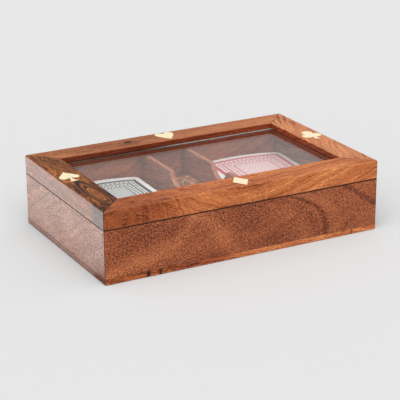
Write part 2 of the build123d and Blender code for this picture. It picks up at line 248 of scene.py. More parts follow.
# ---------------------------------------------------------------------------
# Wood
# ---------------------------------------------------------------------------
def wood(name, field, palette, pores=1.0, fibre=1.0, dash=1.0, gloss=0.44, mitre=None,
         edges="box", pore_len=2.1, pore_w=0.66, spec=0.15, bump=0.40, opening_shade=False, seam=True,
         dull=0.14, specks=0.0, arris_highlight=False):
    """A hardwood surface. field(n, x, y, z) gives (s, r, q, tone, knot): s runs along
    the grain and r, q across it, all in millimetres; tone is the broad light and dark
    of the figure, about -1 to 1; knot is 0 to 1 where a knot sits."""
    n = Net(name)
    x, y, z = n.xyz()
    s, r, q, tone, knot = field(n, x, y, z)
    # streaks, fibres and the short dashes of the open pores, longest along the grain
    f1 = n.noise(s * 0.045, r * 0.62, q * 0.62, detail=3.0, rough=0.62)
    f2 = n.noise(s * 0.13, r * 1.7, q * 1.7, detail=2.0, rough=0.6)
    p1 = n.noise(s * (1.0 / pore_len), r * (1.0 / pore_w), q * (1.0 / pore_w), detail=1.0, rough=0.5, distort=0.35)
    p2 = n.noise(s * (1.8 / pore_len) + 31.0, r * (2.1 / pore_w), q * (2.1 / pore_w), detail=1.5, rough=0.6)
    pore = n.step(p1, 0.54, 0.72)
    pore_fine = n.step(p2, 0.56, 0.72)
    t = (0.5 + tone * 0.30 + (f1 - 0.5) * (1.05 * fibre) + (f2 - 0.5) * (0.75 * fibre)
         - (p1 - 0.5) * (1.60 * dash))
    col = n.ramp(n.clamp(t), palette)
    dark = n.clamp(pore * (0.30 * pores) + pore_fine * (0.26 * pores))
    col = n.mix(dark, col, (0.030, 0.012, 0.007, 1.0))
    speck = n.step(n.noise(s * 0.62 + 5.0, r * 1.35, q * 1.35, detail=0.0), 0.660, 0.730)
    if specks:
        col = n.mix(speck * specks, col, (0.035, 0.012, 0.008, 1.0))
    if knot is not None:
        col = n.mix(n.clamp(knot), col, (0.013, 0.006, 0.004, 1.0))
    # hue drifts a little from board to board and along each board
    drift = n.noise(x * 0.017 + 3.0, y * 0.02, z * 0.03, detail=2.0)
    col = n.mix(n.clamp((drift - 0.42) * 0.9), col, n.mix(1.0, col, (1.06, 0.86, 0.72, 1.0), "MULTIPLY"))
    # worn arrises and painted highlight: a little lighter on the edge, for rubbed wear and for the light an arris
    # catches
    wear_and_highlight = None
    if edges:
        if edges == "box":
            ex, ey = HX - abs(x), HY - abs(y)
            ez = n.vmin(TOP - z, abs(z - SEAM))
        elif edges == "base":
            ex, ey = HX - abs(x), HY - abs(y)
            ez = n.vmin(abs(z - SEAM), abs(z - 3.9) + 0.25)
        else:
            ex, ey, ez = edges(n, x, y, z)
        e = n.vmin(n.vmax(ex, ey), n.vmin(n.vmax(ex, ez), n.vmax(ey, ez)))
        grit = n.noise(x * 0.35, y * 0.35, z * 0.35, detail=3.0, rough=0.6)
        wear_and_highlight = n.clamp(n.step(e, 0.95, 0.25) * n.step(grit, 0.30, 0.66))
        col = n.mix(wear_and_highlight * 0.26, col, (0.60, 0.25, 0.11, 1.0))
    if opening_shade:
        # painted shade: the inside faces of the opening are drawn darker and deep red, for the shade under the rails
        inner = n.step(n.vmax(abs(x) - OX, abs(y) - OY), 0.36, 0.10) * n.step(z, 48.9, 48.5)
        col = n.mix(inner, col, n.mix(1.0, col, (0.46, 0.25, 0.18, 1.0), "MULTIPLY"))
    if arris_highlight:
        # painted highlight: the bead is drawn pale from its lower arris down, for the light that arris catches
        col = n.mix(n.step(z, 39.90, 39.66) * 0.7, col, (0.44, 0.25, 0.20, 1.0))
    if mitre is not None:
        d = abs(mitre(n, x, y, z))
        line = n.step(d, 0.42, 0.08)
        col = n.mix(line * 0.55, col, (0.030, 0.012, 0.008, 1.0))
    if seam:
        # painted shade in the joint between lid and base, and a darker line in the joint over the bottom panel
        rim = n.vmin(HX - abs(x), HY - abs(y))
        outer = n.step(rim, 0.8, 0.35)
        seam_shade = n.step(abs(z - SEAM), 0.72, 0.30) * outer
        foot = n.step(abs(z - 3.9), 0.40, 0.16) * outer
        col = n.mix(n.clamp(seam_shade * 0.90 + foot * 0.40), col, (0.018, 0.005, 0.004, 1.0))
    # finish: satin, duller in the pores and where hands have polished less
    smear = n.noise(x * 0.045 + 7.0, y * 0.045, z * 0.045, detail=3.0, rough=0.55)
    rough = gloss + (smear - 0.5) * 0.16 + pore * (dull * pores) + (f2 - 0.5) * 0.10
    if specks:
        rough = rough + speck * (specks * 0.5)
    if wear_and_highlight is not None:
        rough = rough + wear_and_highlight * 0.06
    height = (f1 - 0.5) * 0.5 + (f2 - 0.5) * 0.35 - pore * (1.0 * pores) - pore_fine * (0.5 * pores)
    nor = n.bump(height, bump, 0.00012)
    p = n.principled(Base_Color=col, Roughness=n.clamp(rough), Normal=nor)
    p.inputs["Specular IOR Level"].default_value = spec
    n.surface(p.outputs[0])
    return n.mat


def mitre_rail(n, x, y, z):
    """Distance from the nearest mitre plane of the frame, in millimetres."""
    return ((HX - abs(x)) - (HY - abs(y))) * 0.7071


def turn2(u, v, deg):
    a = math.radians(deg)
    return u * math.cos(a) + v * math.sin(a), v * math.cos(a) - u * math.sin(a)


# --- front wall of the base: pores rise to the right, figure in broad arcs ---
def field_base_front(n, x, y, z):
    w = n.noise(x * 0.020, y * 0.020, z * 0.035, detail=2.0)
    wx = (n.noise(x * 0.045 + 9.0, z * 0.06, 3.0, detail=2.5) - 0.5) * 11.0
    rise = n.curve(x, [(-102, -31), (-50, -15.5), (0, 0), (40, 13.5), (60, 23), (80, 35), (102, 50)])
    s, r = x * 0.95 + z * 0.32, z * 0.94 - rise
    r = r + (w - 0.5) * 12.0
    xw = x + wx
    # light sweep low on the left that turns up at x = -42
    lower = n.curve(x, [(-102, 6), (-80, 10), (-62, 14), (-48, 22), (-40, 33), (-36, 44)])
    sweep = n.band(z - lower + wx * 0.25, 8.5) * n.step(x, -30.0, -42.0)
    col2 = n.band(xw - n.curve(z, [(0, -8), (12, -14), (24, -24), (36, -38)]), 12.0)
    # two dark arcs on the right with lighter wood between
    xs = x + (n.noise(x * 0.03 + 2.0, z * 0.035, 8.0, detail=1.5) - 0.5) * 6.0
    arc1 = n.band(xs - n.curve(z, [(0, 61), (6, 60.5), (18, 58), (28, 47.5), (37, 27)]), 4.2)
    arc1b = n.band(xw - n.curve(z, [(0, 54), (6, 53.5), (18, 50), (28, 38), (37, 17)]) - wx * 0.6, 8.0)
    pale1 = n.band(xw - n.curve(z, [(0, 70), (6, 70), (18, 67.5), (28, 57), (37, 38)]) - wx * 0.6, 7.0)
    arc2 = n.band(xs - n.curve(z, [(0, 111), (10, 108), (20, 99), (30, 85), (37, 74)]), 6.0)
    dark_ul = n.step(z, 14.0, 27.0) * n.step(x, -40.0, -54.0) * n.step(x, -104.0, -84.0)
    dark_mid = n.band(x - 6.0, 30.0) * n.step(z, 12.0, 28.0)
    dark_low = n.band(x + 34.0, 40.0) * n.band(z - 6.0 - x * 0.05, 7.0)
    red_low = n.band(x - 20.0, 34.0) * n.step(z, 24.0, 10.0)
    blotch = (n.noise(s * 0.022, r * 0.075, 4.0, detail=2.0, rough=0.55) - 0.5) * 1.7
    tone = (sweep * 0.58 + col2 * 0.46 + pale1 * 0.34 - arc1 * 0.95 - arc1b * 0.45 - arc2 * 0.85 - n.step(z, 24.0, 8.0) * 0.12 + n.band(x - 46.0, 24.0) * n.step(z, 20.0, 8.0) * 0.26
            - dark_ul * 0.42 - dark_mid * 0.55 - dark_low * 0.65 - red_low * 0.30 + blotch * 0.8 - 0.12)
    return s, r, y, tone, None


def field_side(seed, tilt, lean=0.0):
    """A side wall: grain along Y with a tilt."""
    def f(n, x, y, z):
        w = n.noise(y * 0.020 + seed, z * 0.035, seed, detail=2.0)
        s, r = turn2(y, z, tilt)
        r = r + (w - 0.5) * 14.0
        ring = n.noise1(r * 0.16 + seed * 3.1 + lean, detail=3.0, rough=0.6)
        blotch = (n.noise(y * 0.045 + seed, z * 0.07, seed + 5.0, detail=3.0, rough=0.6) - 0.5) * 2.0
        tone = blotch + (ring - 0.5) * 2.4
        return s, r, x, tone, None
    return f


def field_long(seed, tilt, contrast=1.0, base=0.0):
    """A long wall or rail: grain along X with a tilt, rings by noise."""
    def f(n, x, y, z):
        w = n.noise(x * 0.016 + seed, y * 0.03, z * 0.03, detail=2.0)
        s, r = turn2(x, z, tilt)
        r = r + (w - 0.5) * 15.0
        ring = n.noise1(r * 0.15 + y * 0.11 + seed * 2.3, detail=3.0, rough=0.6)
        blotch = (n.noise(x * 0.03 + seed, y * 0.05, z * 0.07 + seed, detail=3.0, rough=0.6) - 0.5) * 1.5
        tone = (blotch * 1.2 + (ring - 0.5) * 2.4) * contrast + base
        return s, r, y, tone, None
    return f


# --- front rail of the lid: knot and wavy veins left, cup-shaped swirls, streaks right ---
def field_lid_front(n, x, y, z):
    d = y + HY                                     # 0 on the front face, 18.4 at the opening
    on_top = n.step(d, 0.2, 1.6)
    up = z + d * 0.72
    wave = n.noise(x * 0.07, y * 0.07, z * 0.09, detail=2.5)
    fine = n.noise(x * 0.20, y * 0.20, z * 0.26 + 2.0, detail=2.0)
    cup = n.curve(x, [(-103, 16), (-78, 18), (-60, 15), (-44, 6), (-30, -2), (-14, -7), (4, -8), (24, -5), (52, 4), (80, 13), (103, 21)])
    scale = n.lerp(on_top, 1.0, n.step(x, -40.0, 0.0, 0.85, 0.28))
    r = up - cup * scale + (wave - 0.5) * 5.0 + (fine - 0.5) * 1.1
    # knot on the front face
    kx, kz = x + 87.2, z - 41.5
    kd = n.sqrt(kx * kx * 0.95 + kz * kz * 0.75 + d * d * 0.6) + (fine - 0.5) * 1.6
    near = n.step(kd, 9.0, 3.0)
    r = n.lerp(near, r, kd * 1.0 + (wave - 0.5) * 3.0)
    # small knot on the top
    tx, ty = x + 78.0, y + 56.2
    td = n.sqrt(tx * tx * 0.7 + ty * ty * 1.2 + (49.0 - z) * (49.0 - z)) + (fine - 0.5) * 0.8
    near2 = n.step(td, 6.0, 1.6)
    r = n.lerp(near2, r, td * 1.2)
    # curtain of wavy veins
    curtain = n.step(x, -80.0, -74.0) * n.step(x, -40.0, -47.0)
    rv = x * 0.95 + (wave - 0.5) * 6.0 + n.sin(z * 0.40 + x * 0.10) * 0.8 + z * 0.22
    hung = n.step(x, -80.0, -70.0) * n.step(x, -36.0, -50.0) * n.step(d, 5.0, 0.0)
    lines = n.lerp(hung, n.noise1(r * 0.60, detail=3.0, rough=0.62), 0.5 + (n.noise1(rv * 0.60, detail=2.0, rough=0.55) - 0.5) * 0.6)
    broad = n.noise1(r * 0.17 + 5.0, detail=2.0)
    blotch = (n.noise(x * 0.03, y * 0.05, z * 0.05 + 4.0, detail=2.0) - 0.5) * 1.4
    right = n.step(x, -60.0, 20.0)
    left_dark = n.step(x, -38.0, -70.0)
    swirl = n.step(x, -50.0, -30.0) * n.step(x, 30.0, 0.0)
    vein = n.step(n.noise1(rv * 0.21 + 3.0, detail=1.0), 0.40, 0.62) * curtain * n.step(d, 5.0, 0.5)
    gold = n.step(n.noise1(r * 0.21 + 17.3, detail=2.0), 0.55, 0.66)
    ridge = n.step(n.noise1(r * 0.45 + 40.0, detail=2.0), 0.56, 0.64)
    calm = n.step(x, -99.5, -92.0, 0.25, 1.0)
    strokes = n.step(n.noise1(r * 0.85 + 9.0, detail=2.0), 0.55, 0.64) * on_top * n.step(x, 80.0, 30.0)
    tone = ((lines - 0.5) * 2.2 * calm + (broad - 0.5) * 0.9 * calm - strokes * 0.55 + blotch - left_dark * n.lerp(on_top, 0.70, 0.40) + right * 0.25 + curtain * 0.25
            - vein * 0.50 + gold * n.lerp(right, 0.05, 0.45) + ridge * swirl * 0.30 - on_top * right * 0.05
            - n.band(x - 4.0, 30.0) * 0.30 * (1.0 - on_top) - n.step(x, 62.0, 94.0) * 0.16)
    # dark V of the cathedral on the top, and specks beside it
    arcs = n.band(r - 38.4, 1.0) * n.step(x, -66.0, -58.0) * n.step(x, -32.0, -38.0) * on_top
    specks = n.step(n.noise(x * 0.55 + 3.0, y * 0.30, 2.0, detail=2.0), 0.62, 0.72) * n.band(x + 67.0, 7.0) * on_top
    k1 = n.step(kd, 1.15, 0.45) * 0.85 + n.band(kd - 2.5, 0.55) * 0.26 + n.band(kd - 4.2, 0.6) * 0.15
    k2 = n.step(td, 1.45, 0.6) * 0.9 + n.band(td - 2.7, 0.5) * 0.22
    return x + z * 0.15, r, y * 0.6 - z * 0.3, tone, n.clamp(n.clamp(k1) + n.clamp(k2) + arcs * 0.80 + specks * 0.75)


# --- back rail ---
def field_lid_back(n, x, y, z):
    wave = n.noise(x * 0.03 + 3.0, y * 0.06, z * 0.06, detail=2.5)
    fine = n.noise(x * 0.12 + 3.0, y * 0.2, z * 0.2, detail=2.0)
    r = y + z * 0.8 + (wave - 0.5) * 9.0 - x * 0.035 + (fine - 0.5) * 1.5
    kx, ky = x + 27.9, y - 55.2
    kd = n.sqrt(kx * kx * 0.42 + ky * ky * 1.2 + (49.0 - z) * (49.0 - z)) + (fine - 0.5) * 1.2
    near = n.step(kd, 8.0, 2.0)
    r = n.lerp(near, r, kd * 1.1)
    lines = n.noise1(r * 0.55, detail=3.0, rough=0.6)
    broad = n.noise1(r * 0.15 + 2.0, detail=2.0)
    blotch = (n.noise(x * 0.025 + 8.0, y * 0.05, z * 0.05, detail=2.0) - 0.5) * 1.4
    right = n.step(x, -40.0, 60.0)
    tone = (lines - 0.5) * 2.6 + (broad - 0.5) * 1.6 + blotch + right * 0.52 - 0.17
    vy = y - 55.0 + (wave - 0.5) * 7.0 + (fine - 0.5) * 1.6
    reach = n.step(x, -92.0, -76.0) * n.step(x, 6.0, -10.0)
    veins = (n.band(vy + 3.4, 0.8) + n.band(vy - 0.6, 0.55) * 0.7 + n.band(vy + 6.2, 0.6) * 0.8) * reach * n.step(kd, 2.0, 4.0)
    patchy = n.step(n.noise(x * 0.06 + 1.0, y * 0.05, 6.0, detail=2.0), 0.34, 0.56)
    k = n.clamp(n.step(kd, 2.8, 1.6) * 0.92 + n.band(kd - 4.2, 0.9) * 0.30 + veins * patchy * 0.80)
    return x, r, y, tone, k


# --- left rail: dark with long wavy black veins and an eye in front of the spade ---
def field_lid_left(n, x, y, z):
    u = x + HX                                     # 0 at the outside
    wave = n.noise(x * 0.05, y * 0.035 + 2.0, z * 0.05, detail=3.0, rough=0.55)
    fine = n.noise(x * 0.14, y * 0.09, z * 0.14 + 3.0, detail=2.0)
    flow = n.lerp(n.step(u, 0.4, 1.6), 11.0, 26.0)
    r = u * 1.0 + (49.0 - z) * 0.9 + (wave - 0.5) * flow + (fine - 0.5) * 4.0 + y * 0.06
    # the eye
    ex, ey = u - 10.2, y + 31.5
    ed = n.sqrt(ex * ex * 1.7 + ey * ey * 0.066 + ex * ey * 0.10 + (49.0 - z) * (49.0 - z) * 0.5) + (fine - 0.5) * 2.0 + (wave - 0.5) * 2.6
    near = n.step(ed, 8.6, 6.4)
    r = n.lerp(near, r, ed * 1.35 + 4.0)
    v1 = n.noise1(r * 0.24 + 3.0, detail=2.0, rough=0.55)
    v2 = n.noise1(r * 0.50 + 11.0, detail=1.5, rough=0.5)
    patch = n.step(n.noise(x * 0.07 + 5.0, y * 0.03, z * 0.06, detail=2.0), 0.36, 0.60)
    v3 = n.noise1((r + (fine - 0.5) * 7.0) * 0.85 + 20.0, detail=1.5)
    back = n.step(y, 6.0, 20.0)
    out_eye = n.step(ed, 6.4, 7.6)
    black = n.clamp(n.band(v1 - 0.50, 0.058) + n.band(v1 - 0.61, 0.040) * 0.85 + n.band(v2 - 0.44, 0.070) * patch
                    + n.step(v3, 0.52, 0.63) * (back * 0.45 + 0.15)) * out_eye
    ring = n.clamp(n.step(ed, 0.9, 0.4) * 0.7 + n.band(ed - 2.3, 0.55) * 0.6 + n.band(ed - 3.9, 1.0) * 1.2 + n.band(ed - 6.4, 1.7) * 1.2) * n.step(u, -1.0, 1.5)
    broad = n.noise1(r * 0.20 + 9.0, detail=2.0)
    orange = n.step(broad, 0.42, 0.62)
    front_dark = n.step(y, -40.0, -54.0)
    flat = n.step(u, 0.4, 1.6)                     # the outside face is calmer
    tone = orange * n.lerp(flat, 0.75, 1.35) + n.step(ed, 6.0, 4.5) * flat * 0.12 - n.lerp(flat, 0.75, 0.0) + (fine - 0.5) * 1.2 - front_dark * 1.0 - n.step(ed, 6.6, 8.2) * n.step(y, -6.0, -14.0) * flat * 0.60 + n.band(y - 4.0, 24.0) * flat * 0.40
    k = n.clamp(n.vmax(black * 0.93, ring * 0.95) * n.lerp(flat, 0.45, 1.0) * n.lerp(front_dark, 1.0, 0.75))
    return y, r, z, tone, k


# --- right rail: salmon, with a few diagonal dark veins ---
def field_lid_right(n, x, y, z):
    wave = n.noise(x * 0.05 + 1.0, y * 0.03, z * 0.05, detail=3.0, rough=0.55)
    fine = n.noise(x * 0.16 + 1.0, y * 0.12, z * 0.16, detail=2.0)
    r = x - y * 0.42 + (49.0 - z) * 0.8 + (wave - 0.5) * 13.0 + (fine - 0.5) * 2.5
    lines = n.noise1(r * 0.50, detail=3.0, rough=0.6)
    vein_n = n.noise1(r * 0.21 + 13.0, detail=2.5, rough=0.6)
    patch = n.step(n.noise(x * 0.06, y * 0.035 + 6.0, z * 0.06, detail=2.0), 0.38, 0.56)
    vein = n.band(vein_n - 0.5, 0.026) * patch
    red = n.step(n.noise(x * 0.07 + 4.0, y * 0.04, z * 0.07, detail=2.0), 0.5, 0.70)
    blotch = (n.noise(x * 0.04, y * 0.03, z * 0.05 + 9.0, detail=2.0) - 0.5) * 1.1
    tone = (lines - 0.5) * 2.2 + blotch - vein * 1.3 - red * 0.60 + 0.15
    return y, r, z, tone, vein * 0.50


# --- bottom panel: grain along X, paler, dark knots near x = -67 on the front edge ---
def field_bottom(n, x, y, z):
    wave = n.noise(x * 0.02, y * 0.03, z * 0.05, detail=2.0)
    r = y * 0.5 + z * 1.0 + x * 0.06 + (wave - 0.5) * 12.0
    lines = n.noise1(r * 0.5, detail=3.0, rough=0.6)
    blotch = (n.noise(x * 0.04, y * 0.04, z * 0.05, detail=2.0) - 0.5) * 1.2
    left = n.step(x, -8.0, -30.0)
    far = n.step(x, -78.0, -92.0)
    # painted shade: the outside left face of the bottom panel is darker and less figured, for contact shade by the
    # floor
    side = n.step(x, -100.2, -101.2)
    tone = (lines - 0.5) * 2.6 * n.lerp(side, 1.0, 0.5) + blotch + 0.62 - left * 1.02 - far * 0.42 - side * 0.65
    front = n.step(y, -50.0, -62.0)
    k = (n.band(x + 71.5, 2.6) + n.band(x + 62.9, 2.1) * 0.9 + n.band(x - 81.5, 1.2) * 0.6) * front
    return x, r, y, tone, n.clamp(k * 1.15) * 0.92


def field_divider(seed, face_x):
    def f(n, x, y, z):
        wave = n.noise(x * 0.05 + seed, y * 0.02, z * 0.04, detail=2.0)
        r = z + y * 0.22 + (wave - 0.5) * 12.0
        lines = n.noise1(r * 0.35 + seed, detail=3.0, rough=0.6)
        blotch = (n.noise(x * 0.05, y * 0.04 + seed, z * 0.06, detail=2.0) - 0.5) * 1.2
        face = n.vmin(abs(x - face_x), abs(x - face_x - 3.6))
        edge = n.step(face, 0.12, 0.45)
        return y, r, x, (lines - 0.5) * 1.9 * (1.0 - edge) + blotch + edge * 0.75, None
    return f


def palette(*cols):
    """Ramp stops from dark to light, given as linear albedo."""
    k = len(cols) - 1
    return [(i / k, (*c, 1.0)) for i, c in enumerate(cols)]


PAL_RED = palette((0.060, 0.016, 0.009), (0.190, 0.047, 0.019), (0.338, 0.095, 0.037), (0.470, 0.155, 0.062), (0.640, 0.255, 0.112))
# PAL_INNER, the back wall's wood, is set lighter than the front wall's: painted light for the dim inside of the box
PAL_INNER = palette((0.110, 0.029, 0.013), (0.270, 0.072, 0.029), (0.440, 0.130, 0.054), (0.580, 0.198, 0.085), (0.700, 0.280, 0.130))
PAL_SIDE = palette((0.076, 0.029, 0.018), (0.164, 0.064, 0.038), (0.258, 0.108, 0.064), (0.352, 0.158, 0.096), (0.480, 0.230, 0.145))
PAL_BOTTOM = palette((0.080, 0.016, 0.006), (0.255, 0.058, 0.018), (0.410, 0.110, 0.034), (0.540, 0.165, 0.054), (0.680, 0.260, 0.100))
PAL_DIV = palette((0.100, 0.030, 0.018), (0.205, 0.066, 0.038), (0.320, 0.108, 0.062), (0.420, 0.155, 0.088), (0.540, 0.220, 0.130))
PAL_FRONT = palette((0.090, 0.018, 0.006), (0.260, 0.060, 0.017), (0.440, 0.125, 0.038), (0.610, 0.205, 0.066), (0.820, 0.370, 0.145))
PAL_BACK = palette((0.120, 0.032, 0.014), (0.250, 0.076, 0.032), (0.395, 0.134, 0.053), (0.520, 0.196, 0.080), (0.660, 0.280, 0.124))
PAL_LEFT = palette((0.022, 0.009, 0.005), (0.120, 0.034, 0.012), (0.280, 0.082, 0.022), (0.480, 0.152, 0.036), (0.640, 0.235, 0.064))
PAL_RIGHT = palette((0.180, 0.052, 0.024), (0.390, 0.126, 0.052), (0.580, 0.218, 0.094), (0.700, 0.298, 0.136), (0.830, 0.410, 0.205))
PAL_BEAD = palette((0.040, 0.012, 0.007), (0.085, 0.022, 0.011), (0.120, 0.031, 0.013), (0.160, 0.043, 0.018), (0.210, 0.062, 0.028))
PAL_DIE = palette((0.090, 0.024, 0.010), (0.220, 0.064, 0.022), (0.370, 0.118, 0.040), (0.480, 0.175, 0.060), (0.600, 0.250, 0.095))

dress(["base_front_wall"], wood("wood_base_front", field_base_front, PAL_RED, pores=0.80, fibre=0.44, dash=1.15, pore_len=1.35, pore_w=0.58, specks=0.30, spec=0.17, edges="base", mitre=mitre_rail))
dress(["base_left_wall"], wood("wood_base_left", field_side(2.0, -28.0), PAL_SIDE, pores=0.60, fibre=0.30, dash=0.62, pore_len=1.5, pore_w=0.66, bump=0.22, dull=0.30, specks=0.95, edges="base", mitre=mitre_rail))
dress(["base_right_wall"], wood("wood_base_right", field_side(11.0, -14.0), PAL_SIDE, pores=1.0, edges="base", mitre=mitre_rail))
dress(["base_back_wall"], wood("wood_base_back", field_long(5.0, 24.0), PAL_INNER, pores=0.7, fibre=0.45, dash=0.5, edges="base", mitre=mitre_rail))
dress(["base_bottom_panel"], wood("wood_bottom", field_bottom, PAL_BOTTOM, pores=0.6, dash=0.6, edges="base"))
dress(["divider_left"], wood("wood_divider_a", field_divider(3.0, -18.4), PAL_DIV, pores=0.5, dash=0.5, edges=None, seam=False))
dress(["divider_right"], wood("wood_divider_b", field_divider(8.0, 13.6), PAL_DIV, pores=0.5, dash=0.5, edges=None, seam=False))
dress(["lid_front_rail"], wood("wood_lid_front", field_lid_front, PAL_FRONT, pores=0.40, fibre=0.45, dash=0.50, pore_w=0.64, specks=0.22, mitre=mitre_rail, opening_shade=True))
dress(["lid_back_rail"], wood("wood_lid_back", field_lid_back, PAL_BACK, pores=0.4, fibre=0.8, dash=0.45, mitre=mitre_rail, opening_shade=True))
dress(["lid_left_rail"], wood("wood_lid_left", field_lid_left, PAL_LEFT, pores=0.4, fibre=0.8, dash=0.42, pore_w=0.64, bump=0.25, mitre=mitre_rail, opening_shade=True))
dress(["lid_right_rail"], wood("wood_lid_right", field_lid_right, PAL_RIGHT, pores=0.35, fibre=0.8, dash=0.40, mitre=mitre_rail, opening_shade=True))
for i, side in enumerate(("front", "back")):
    dress([f"glass_bead_{side}"], wood(f"wood_bead_{side}", field_long(21.0 + i, 6.0, 0.8), PAL_BEAD, pores=0.6, arris_highlight=True, edges=None, seam=False))
for i, side in enumerate(("left", "right")):
    dress([f"glass_bead_{side}"], wood(f"wood_bead_{side}", field_side(31.0 + i, 6.0), PAL_BEAD, pores=0.6, arris_highlight=True, edges=None, seam=False))


# ---------------------------------------------------------------------------
# Brass
# ---------------------------------------------------------------------------
def brass(name, base, tint, metal, rough, along):
    n = Net(name)
    x, y, z = n.xyz()
    a, b = (x, y) if along == "x" else (y, x)
    brush = n.noise(a * 0.35, b * 6.0, z * 6.0, detail=2.0, rough=0.6)
    haze = n.noise(x * 0.22, y * 0.22, z * 0.22 + 5.0, detail=3.0, rough=0.6)
    spots = n.step(n.noise(x * 1.1 + 4.0, y * 1.1, z * 1.1, detail=2.0), 0.66, 0.80)
    col = n.mix(n.clamp((haze - 0.35) * 1.1), base, tint)
    col = n.mix(spots * 0.22, col, (0.42, 0.26, 0.10, 1.0))
    rg = rough + (brush - 0.5) * 0.22 + (haze - 0.5) * 0.14
    nor = n.bump((brush - 0.5) + (haze - 0.5) * 0.6, 0.22, 0.00006)
    p = n.principled(Base_Color=col, Roughness=n.clamp(rg), Normal=nor)
    p.inputs["Metallic"].default_value = metal
    n.surface(p.outputs[0])
    return n.mat


INLAY = brass("inlay_brass", (1.0, 0.885, 0.60, 1.0), (0.98, 0.80, 0.46, 1.0), 0.20, 0.44, "y")
HINGE = brass("hinge_brass", (0.86, 0.60, 0.26, 1.0), (0.74, 0.47, 0.18, 1.0), 0.95, 0.30, "x")
SCREW = brass("screw_brass", (0.80, 0.55, 0.24, 1.0), (0.62, 0.40, 0.16, 1.0), 0.95, 0.34, "y")
dress(["inlay_spade", "inlay_heart", "inlay_diamond", "inlay_club"], INLAY)
for s in ("left", "right"):
    dress([f"hinge_{s}_base_leaf", f"hinge_{s}_lid_leaf", f"hinge_{s}_pin"], HINGE)
dress(["hinge_base_screws", "hinge_lid_screws"], SCREW)


# ---------------------------------------------------------------------------
# New pieces
# ---------------------------------------------------------------------------
def new_object(name, verts, faces, mats=None, smooth=False):
    mesh = bpy.data.meshes.new(name)
    mesh.from_pydata(verts, [], faces)
    mesh.validate()
    mesh.update()
    if mats:
        mesh.polygons.foreach_set("material_index", mats)
    if smooth:
        mesh.polygons.foreach_set("use_smooth", [True] * len(mesh.polygons))
    ob = bpy.data.objects.new(name, mesh)
    bpy.context.scene.collection.objects.link(ob)
    return ob


# --- the pane: float glass with ground arrises, a hair clear of the wood round it ---
def make_pane():
    x, y = IX - 0.5, IY - 0.5
    z0, z1 = 42.98, 44.90
    bm = bmesh.new()
    bmesh.ops.create_cube(bm, size=1.0)
    for v in bm.verts:
        v.co = Vector((v.co.x * 2 * x * MM, (v.co.y * 2 * y + Y_SHIFT) * MM, (z0 + (v.co.z + 0.5) * (z1 - z0)) * MM))
    bmesh.ops.bevel(bm, geom=list(bm.edges), offset=0.00025, segments=2, profile=0.6, affect="EDGES")
    mesh = bpy.data.meshes.new("pane")
    bm.to_mesh(mesh)
    bm.free()
    ob = bpy.data.objects.new("pane", mesh)
    bpy.context.scene.collection.objects.link(ob)

    n = Net("pane_glass")
    px, py, pz = n.xyz()
    smear = n.noise(px * 0.03, py * 0.05, 2.0, detail=4.0, rough=0.6)
    dust = n.step(n.noise(px * 1.7, py * 1.7, 1.0, detail=2.0), 0.70, 0.82)
    rough = n.clamp(n.step(smear, 0.60, 0.85) * 0.012 + dust * 0.02)
    p = n.principled(Roughness=rough)
    p.inputs["Base Color"].default_value = (0.97, 0.985, 0.98, 1.0)
    p.inputs["Transmission Weight"].default_value = 1.0
    p.inputs["IOR"].default_value = 1.53
    # a fine veil of dust and wiping marks, and along the back lip a painted line of light and shade: dark on the left
    # for the shade under the rail, pale green on the right for light caught in the glass edge
    dust_and_edge_light_shader = n.principled(Roughness=0.8)
    edge_glow_and_shade = n.step(py, OY - 1.35, OY - 0.75) * n.step(px, -92.0, -88.0) * n.step(px, 88.0, 82.0) * n.step(pz, 44.3, 44.6)
    broken = n.step(n.noise(px * 0.5, 3.0, 1.0, detail=2.0), 0.26, 0.46)
    n.put(dust_and_edge_light_shader.inputs["Base Color"], n.mix(n.clamp(edge_glow_and_shade), (0.80, 0.82, 0.84, 1.0), n.mix(n.step(px, -24.0, 14.0), (0.022, 0.026, 0.018, 1.0), (0.40, 0.53, 0.51, 1.0))))
    dust_and_edge_light = n.clamp((0.008 + (smear - 0.5) * 0.03) * n.step(pz, 44.3, 44.6) + edge_glow_and_shade * broken * 0.92)
    haze = n.new("ShaderNodeMixShader")
    n.put(haze.inputs[0], dust_and_edge_light)
    n.t.links.new(p.outputs[0], haze.inputs[1])
    n.t.links.new(dust_and_edge_light_shader.outputs[0], haze.inputs[2])
    # lamps and the light bounced inside the box pass straight through, made about 13% brighter: added light inside the
    # box
    clear = n.new("ShaderNodeBsdfTransparent")
    clear.inputs["Color"].default_value = (1.13, 1.14, 1.14, 1.0)
    lp = n.new("ShaderNodeLightPath")
    through = n.vmax(Val(n, lp.outputs["Is Shadow Ray"]), Val(n, lp.outputs["Is Diffuse Ray"]))
    mixer = n.new("ShaderNodeMixShader")
    n.put(mixer.inputs[0], through)
    n.t.links.new(haze.outputs[0], mixer.inputs[1])
    n.t.links.new(clear.outputs[0], mixer.inputs[2])
    n.surface(mixer.outputs[0])
    ob.data.materials.append(n.mat)
    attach(ob, "lid")
    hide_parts("glass_pane")
    return ob


make_pane()

# --- card decks: each card is its own thin bowed sheet in one mesh ---
CARD_W, CARD_L, CARD_R = 63.5, 88.9, 3.5
N_CARDS = 54


def card_columns():
    half = CARD_W / 2
    xs = []
    for i in range(7):
        a = math.radians(90 * i / 6)
        xs.append(-half + CARD_R * (1 - math.cos(a)))
    for i in range(1, 12):
        xs.append(-half + CARD_R + (CARD_W - 2 * CARD_R) * i / 12)
    xs += [-v for v in xs[:7][::-1]]
    out = []
    for v in xs:
        d = abs(v) - (half - CARD_R)
        y = CARD_L / 2 if d <= 0 else CARD_L / 2 - CARD_R + math.sqrt(max(CARD_R ** 2 - d * d, 0.0))
        out.append((v, y))
    return out


